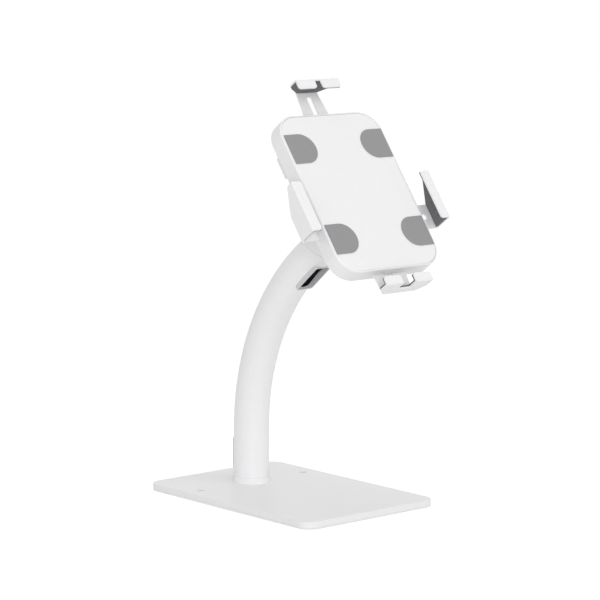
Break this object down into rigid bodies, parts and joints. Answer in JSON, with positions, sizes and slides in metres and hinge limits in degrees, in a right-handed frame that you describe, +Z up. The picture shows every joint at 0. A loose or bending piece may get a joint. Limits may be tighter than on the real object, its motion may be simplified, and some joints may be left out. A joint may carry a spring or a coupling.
{
  "type": "tablet desk stand",
  "caption": "Desk stand that locks a tablet behind sliding claws on a tilting, turning head, carried by a bent tube on a flat base plate.",
  "frame": {"origin": "centre of the base's underside, on the surface it stands on", "axes": "+Z up, -Y towards the user in front of the screen, +X to that user's right"},
  "size_m": [0.209, 0.3528, 0.4967],
  "materials": {
    "white_powder_coat": "smooth satin powder coat",
    "grey_pad_rubber": "smooth soft rubber",
    "dark_lining_foam": "soft foam rubber",
    "black_mat_rubber": "fine grained rubber",
    "grey_frame_plastic": "matt moulded plastic",
    "zinc_steel": "zinc plated",
    "lock_chrome": "polished",
    "lock_brass": "turned",
    "nylon": "matt nylon"
  },
  "bodies": {
    "stand": {"base_plate": "white_powder_coat", "base_mat": "black_mat_rubber", "foot_screws": "zinc_steel", "foot_plug": "zinc_steel", "post_tube": "white_powder_coat", "post_collar": "white_powder_coat", "lower_cable_frame": "grey_frame_plastic", "upper_cable_frame": "grey_frame_plastic", "neck_fork": "white_powder_coat", "neck_set_screws": "zinc_steel", "tilt_bolt": "zinc_steel", "tilt_nut": "zinc_steel", "tilt_washers": "nylon"},
    "knuckle": {"tilt_knuckle": "white_powder_coat", "swivel_washer": "zinc_steel", "swivel_nut": "zinc_steel"},
    "head": {"rear_cover": "white_powder_coat", "back_shell": "white_powder_coat", "front_panel": "white_powder_coat", "lock_housing": "white_powder_coat", "grip_pad_lower_left": "grey_pad_rubber", "grip_pad_lower_right": "grey_pad_rubber", "grip_pad_upper_left": "grey_pad_rubber", "grip_pad_upper_right": "grey_pad_rubber", "cover_screws": "zinc_steel", "panel_posts": "zinc_steel", "panel_tabs": "zinc_steel", "catch_brackets": "zinc_steel", "latch_tab": "zinc_steel", "guide_screws": "zinc_steel", "arm_standoffs": "zinc_steel", "lock_nut": "zinc_steel", "lock_body": "lock_chrome", "swivel_bush": "nylon", "swivel_disc": "nylon"},
    "lock_core": {"lock_plug": "lock_brass", "lock_cam": "zinc_steel", "cam_screw": "zinc_steel"},
    "top_claw": {"top_arm": "white_powder_coat", "top_lining": "dark_lining_foam"},
    "bottom_claw": {"bottom_arm": "white_powder_coat", "bottom_lining": "dark_lining_foam"},
    "left_claw": {"left_arm": "white_powder_coat", "left_lining": "dark_lining_foam"},
    "right_claw": {"right_arm": "white_powder_coat", "right_lining": "dark_lining_foam"}
  },
  "joints": [
    {"name": "head_tilt", "type": "hinge", "parent": "stand", "child": "knuckle", "pos_m": [0, -0.08464, 0.32152], "axis": [1, 0, 0], "range_deg": [-40, 36]},
    {"name": "head_turn", "type": "hinge", "parent": "knuckle", "child": "head", "pos_m": [0, -0.11603, 0.34433], "axis": [0, -0.809, 0.5878], "range_deg": [-90, 90]},
    {"name": "lock_turn", "type": "hinge", "parent": "head", "child": "lock_core", "pos_m": [-0.0577, -0.06579, 0.39868], "axis": [0, -0.809, 0.5878], "range_deg": [0, 90]},
    {"name": "top_claw_slide", "type": "slide", "parent": "head", "child": "top_claw", "axis": [0, 0.5878, 0.809], "range_m": [-0.033, 0.025]},
    {"name": "bottom_claw_slide", "type": "slide", "parent": "head", "child": "bottom_claw", "axis": [0, -0.5878, -0.809], "range_m": [-0.02, 0.012]},
    {"name": "left_claw_slide", "type": "slide", "parent": "head", "child": "left_claw", "axis": [-1, 0, 0], "range_m": [-0.021, 0.012]},
    {"name": "right_claw_slide", "type": "slide", "parent": "head", "child": "right_claw", "axis": [1, 0, 0], "range_m": [-0.021, 0.012]}
  ]
}
